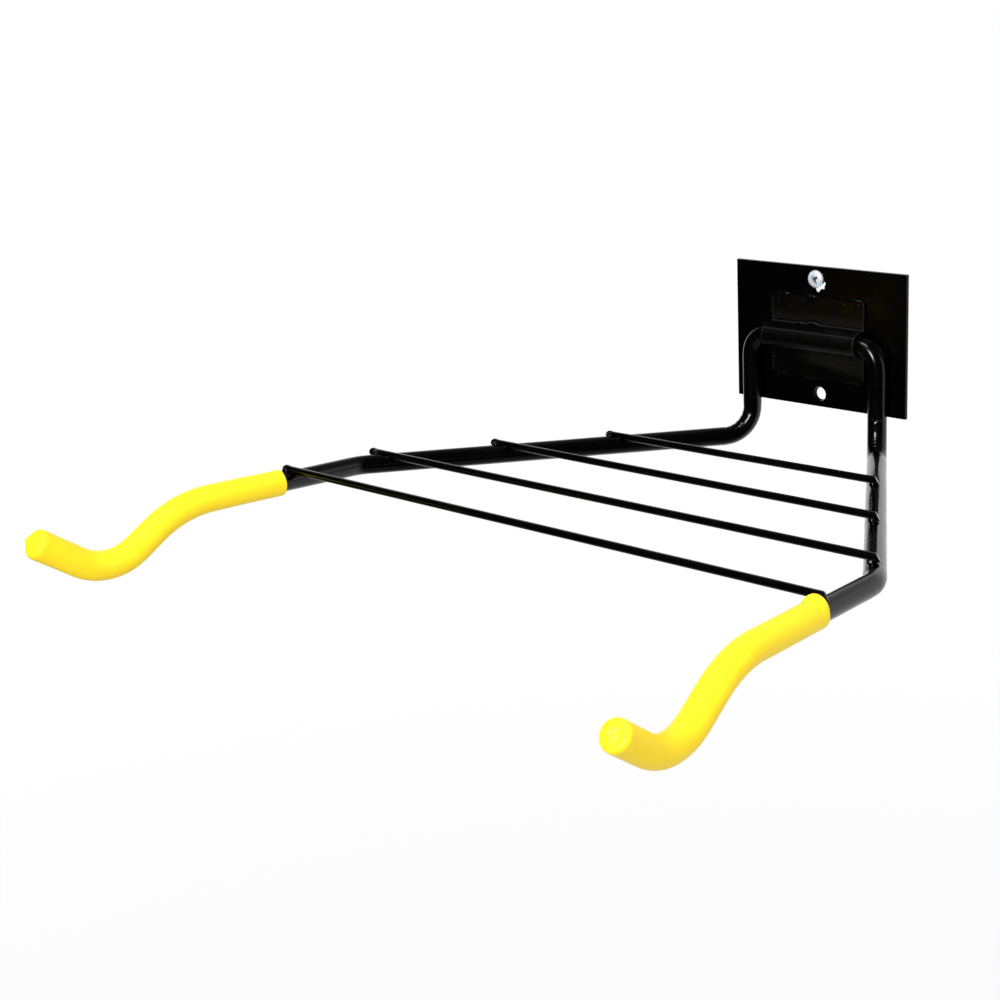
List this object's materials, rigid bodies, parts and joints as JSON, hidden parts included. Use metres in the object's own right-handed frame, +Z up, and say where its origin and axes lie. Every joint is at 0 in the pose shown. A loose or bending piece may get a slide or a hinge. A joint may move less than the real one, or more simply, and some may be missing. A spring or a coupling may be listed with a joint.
{
  "type": "wall-mounted bike rack",
  "caption": "Folding wall rack for bicycles: a bent tube with two sleeved hooks and a rod shelf hinges up from a strap on a flat wall plate.",
  "frame": {"origin": "middle of the wall plate's back face, on the wall", "axes": "+Y into the wall, so the rack stands out to -Y; +X along the wall to the right of a person facing the rack; +Z up"},
  "size_m": [0.4667, 0.5232, 0.1424],
  "materials": {
    "plate_enamel": "gloss black enamel",
    "strap_enamel": "satin black enamel",
    "tube_enamel": "gloss black enamel",
    "rod_enamel": "gloss black enamel",
    "yellow_vinyl": "satin dip-moulded vinyl",
    "zinc_plate": "bright zinc plate"
  },
  "bodies": {
    "wall_bracket": {"wall_plate": "plate_enamel", "hinge_strap": "strap_enamel", "mounting_screw": "zinc_plate"},
    "folding_frame": {"frame_tube": "tube_enamel", "cross_rod_1": "rod_enamel", "cross_rod_2": "rod_enamel", "cross_rod_3": "rod_enamel", "cross_rod_4": "rod_enamel", "left_hook_sleeve": "yellow_vinyl", "right_hook_sleeve": "yellow_vinyl"}
  },
  "joints": [
    {"name": "fold", "type": "hinge", "parent": "wall_bracket", "child": "folding_frame", "pos_m": [0, -0.00985, 0], "axis": [-1, 0, 0], "range_deg": [0, 97]}
  ]
}
